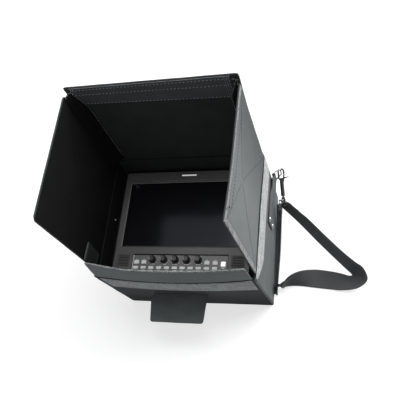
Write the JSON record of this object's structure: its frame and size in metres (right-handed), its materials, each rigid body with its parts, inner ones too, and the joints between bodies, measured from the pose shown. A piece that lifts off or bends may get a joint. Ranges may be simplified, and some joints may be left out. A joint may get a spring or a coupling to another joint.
{
  "type": "camera field monitor with sun hood",
  "caption": "Camera field monitor in a soft zipped carrying case; its front opens into a folding sun hood, with control knobs and keys, a lower flap and a shoulder strap on snap hooks.",
  "frame": {"origin": "centre of the back panel's outer face, on the surface that the case lies on", "axes": "+Z out of the screen, towards the hood's mouth; +Y towards the monitor's top; +X to the viewer's right"},
  "size_m": [0.4129, 0.2755, 0.3555],
  "materials": {
    "nylon": "coarse woven nylon",
    "hood_panel": "nylon laminated on board",
    "lining": "matt lining",
    "loop_fabric": "brushed loop pile",
    "hook_strip": "hook tape",
    "foam": "closed-cell foam",
    "bezel": "fine moulded texture",
    "rear_shell": "moulded texture",
    "screen": "dark glossy glass",
    "lcd_back": "sheet metal frame",
    "control_plate": "satin moulded plate",
    "circuit_board": "coated laminate",
    "power_key": "satin",
    "tally_lens": "clear tinted",
    "grille": "slotted moulding",
    "speaker_cone": "paper cone in a frame",
    "webbing": "ribbed webbing",
    "chrome": "polished plating",
    "zip_tape": "woven tape with coil teeth",
    "zip_metal": "plated die casting",
    "knob": "ribbed soft-touch",
    "key": "satin moulded caps"
  },
  "bodies": {
    "case": {"case_back_panel": "nylon", "case_bottom_wall": "nylon", "case_left_wall": "nylon", "case_right_wall": "nylon", "case_top_wall": "nylon", "loop_band": "loop_fabric", "foam_frame": "foam", "rear_foam_pad": "foam", "monitor_bezel": "bezel", "monitor_rear_shell": "rear_shell", "lcd_module": "lcd_back", "screen_glass": "screen", "control_plate": "control_plate", "control_board": "circuit_board", "main_board": "circuit_board", "speakers": "speaker_cone", "speaker_grilles": "grille", "tally_lens": "tally_lens", "side_webbing": "webbing", "webbing_rivets": "chrome", "d_ring": "chrome", "snap_hook_body": "chrome", "strap_ring_upper": "chrome", "strap_ring_lower": "chrome", "strap_anchor": "webbing", "shoulder_strap": "webbing", "zip_strip": "zip_tape"},
    "hood_left": {"hood_left_panel": "hood_panel", "lip_tab_left": "hook_strip"},
    "hood_right": {"hood_right_panel": "hood_panel", "lip_tab_right": "hook_strip"},
    "hood_lid": {"hood_lid": "hood_panel", "lid_front_band": "hook_strip", "corner_strips": "lining"},
    "hood_lip": {"hood_lip": "hood_panel"},
    "bottom_flap": {"bottom_flap": "nylon"},
    "knob_1": {"knob_1": "knob"},
    "knob_2": {"knob_2": "knob"},
    "knob_3": {"knob_3": "knob"},
    "knob_4": {"knob_4": "knob"},
    "knob_5": {"knob_5": "knob"},
    "lower_key_1": {"lower_key_1": "key"},
    "lower_key_2": {"lower_key_2": "key"},
    "lower_key_3": {"lower_key_3": "key"},
    "lower_key_4": {"lower_key_4": "key"},
    "lower_key_5": {"lower_key_5": "key"},
    "lower_key_6": {"lower_key_6": "key"},
    "lower_key_7": {"lower_key_7": "key"},
    "lower_key_8": {"lower_key_8": "key"},
    "lower_key_9": {"lower_key_9": "key"},
    "lower_key_10": {"lower_key_10": "key"},
    "lower_key_11": {"lower_key_11": "key"},
    "power_key": {"power_key": "power_key"},
    "upper_key_1": {"upper_key_1": "key"},
    "upper_key_2": {"upper_key_2": "key"},
    "upper_key_3": {"upper_key_3": "key"},
    "upper_key_4": {"upper_key_4": "key"},
    "snap_hook_gate": {"snap_hook_gate": "chrome"},
    "zip_slider": {"zip_slider": "zip_metal"},
    "zip_pull": {"zip_pull": "zip_metal"}
  },
  "joints": [
    {"name": "hood_left_hinge", "type": "hinge", "parent": "case", "child": "hood_left", "pos_m": [-0.125, 0, 0.1593], "axis": [0, 1, 0], "range_deg": [0, 90]},
    {"name": "hood_right_hinge", "type": "hinge", "parent": "case", "child": "hood_right", "pos_m": [0.125, 0, 0.1629], "axis": [0, -1, 0], "range_deg": [0, 89.1]},
    {"name": "hood_lid_hinge", "type": "hinge", "parent": "case", "child": "hood_lid", "pos_m": [0, 0.099, 0.1665], "axis": [1, 0, 0], "range_deg": [0, 92.3], "deforming": ["corner_strips"]},
    {"name": "hood_lip_hinge", "type": "hinge", "parent": "case", "child": "hood_lip", "pos_m": [0, -0.099, 0.1693], "axis": [-1, 0, 0], "range_deg": [0, 90]},
    {"name": "bottom_flap_hinge", "type": "hinge", "parent": "case", "child": "bottom_flap", "pos_m": [-0.0105, -0.10947, 0.09], "axis": [-1, 0, 0], "range_deg": [-78, 78]},
    {"name": "knob_1_turn", "type": "hinge", "parent": "case", "child": "knob_1", "pos_m": [-0.0481, -0.0662, 0.131], "axis": [0, 0, 1], "range_deg": [-140, 140]},
    {"name": "knob_2_turn", "type": "hinge", "parent": "case", "child": "knob_2", "pos_m": [-0.02915, -0.0662, 0.131], "axis": [0, 0, 1], "range_deg": [-140, 140]},
    {"name": "knob_3_turn", "type": "hinge", "parent": "case", "child": "knob_3", "pos_m": [-0.0102, -0.0662, 0.131], "axis": [0, 0, 1], "range_deg": [-140, 140]},
    {"name": "knob_4_turn", "type": "hinge", "parent": "case", "child": "knob_4", "pos_m": [0.00875, -0.0662, 0.131], "axis": [0, 0, 1], "range_deg": [-140, 140]},
    {"name": "knob_5_turn", "type": "hinge", "parent": "case", "child": "knob_5", "pos_m": [0.0277, -0.0662, 0.131], "axis": [0, 0, 1], "range_deg": [-140, 140]},
    {"name": "lower_key_1_press", "type": "slide", "parent": "case", "child": "lower_key_1", "axis": [0, 0, -1], "range_m": [0, 0.0008], "stiffness_N_per_m": 600},
    {"name": "lower_key_2_press", "type": "slide", "parent": "case", "child": "lower_key_2", "axis": [0, 0, -1], "range_m": [0, 0.0008], "stiffness_N_per_m": 600},
    {"name": "lower_key_3_press", "type": "slide", "parent": "case", "child": "lower_key_3", "axis": [0, 0, -1], "range_m": [0, 0.0008], "stiffness_N_per_m": 600},
    {"name": "lower_key_4_press", "type": "slide", "parent": "case", "child": "lower_key_4", "axis": [0, 0, -1], "range_m": [0, 0.0008], "stiffness_N_per_m": 600},
    {"name": "lower_key_5_press", "type": "slide", "parent": "case", "child": "lower_key_5", "axis": [0, 0, -1], "range_m": [0, 0.0008], "stiffness_N_per_m": 600},
    {"name": "lower_key_6_press", "type": "slide", "parent": "case", "child": "lower_key_6", "axis": [0, 0, -1], "range_m": [0, 0.0008], "stiffness_N_per_m": 600},
    {"name": "lower_key_7_press", "type": "slide", "parent": "case", "child": "lower_key_7", "axis": [0, 0, -1], "range_m": [0, 0.0008], "stiffness_N_per_m": 600},
    {"name": "lower_key_8_press", "type": "slide", "parent": "case", "child": "lower_key_8", "axis": [0, 0, -1], "range_m": [0, 0.0008], "stiffness_N_per_m": 600},
    {"name": "lower_key_9_press", "type": "slide", "parent": "case", "child": "lower_key_9", "axis": [0, 0, -1], "range_m": [0, 0.0008], "stiffness_N_per_m": 600},
    {"name": "lower_key_10_press", "type": "slide", "parent": "case", "child": "lower_key_10", "axis": [0, 0, -1], "range_m": [0, 0.0008], "stiffness_N_per_m": 600},
    {"name": "lower_key_11_press", "type": "slide", "parent": "case", "child": "lower_key_11", "axis": [0, 0, -1], "range_m": [0, 0.0008], "stiffness_N_per_m": 600},
    {"name": "power_key_press", "type": "slide", "parent": "case", "child": "power_key", "axis": [0, 0, -1], "range_m": [0, 0.0008], "stiffness_N_per_m": 600},
    {"name": "upper_key_1_press", "type": "slide", "parent": "case", "child": "upper_key_1", "axis": [0, 0, -1], "range_m": [0, 0.0008], "stiffness_N_per_m": 600},
    {"name": "upper_key_2_press", "type": "slide", "parent": "case", "child": "upper_key_2", "axis": [0, 0, -1], "range_m": [0, 0.0008], "stiffness_N_per_m": 600},
    {"name": "upper_key_3_press", "type": "slide", "parent": "case", "child": "upper_key_3", "axis": [0, 0, -1], "range_m": [0, 0.0008], "stiffness_N_per_m": 600},
    {"name": "upper_key_4_press", "type": "slide", "parent": "case", "child": "upper_key_4", "axis": [0, 0, -1], "range_m": [0, 0.0008], "stiffness_N_per_m": 600},
    {"name": "snap_hook_gate_pivot", "type": "hinge", "parent": "case", "child": "snap_hook_gate", "pos_m": [0.14725, 0.10038, 0.06859], "axis": [0.0371, -0.5525, 0.8327], "range_deg": [0, 24], "stiffness_Nm_per_rad": 0.03, "springref_deg": -17.19},
    {"name": "zip_slide", "type": "slide", "parent": "case", "child": "zip_slider", "axis": [0, -1, 0], "range_m": [0, 0.118]},
    {"name": "zip_pull_hinge", "type": "hinge", "parent": "zip_slider", "child": "zip_pull", "pos_m": [0.1355, 0.0705, 0.01315], "axis": [1, 0, 0], "range_deg": [0, 150]}
  ]
}
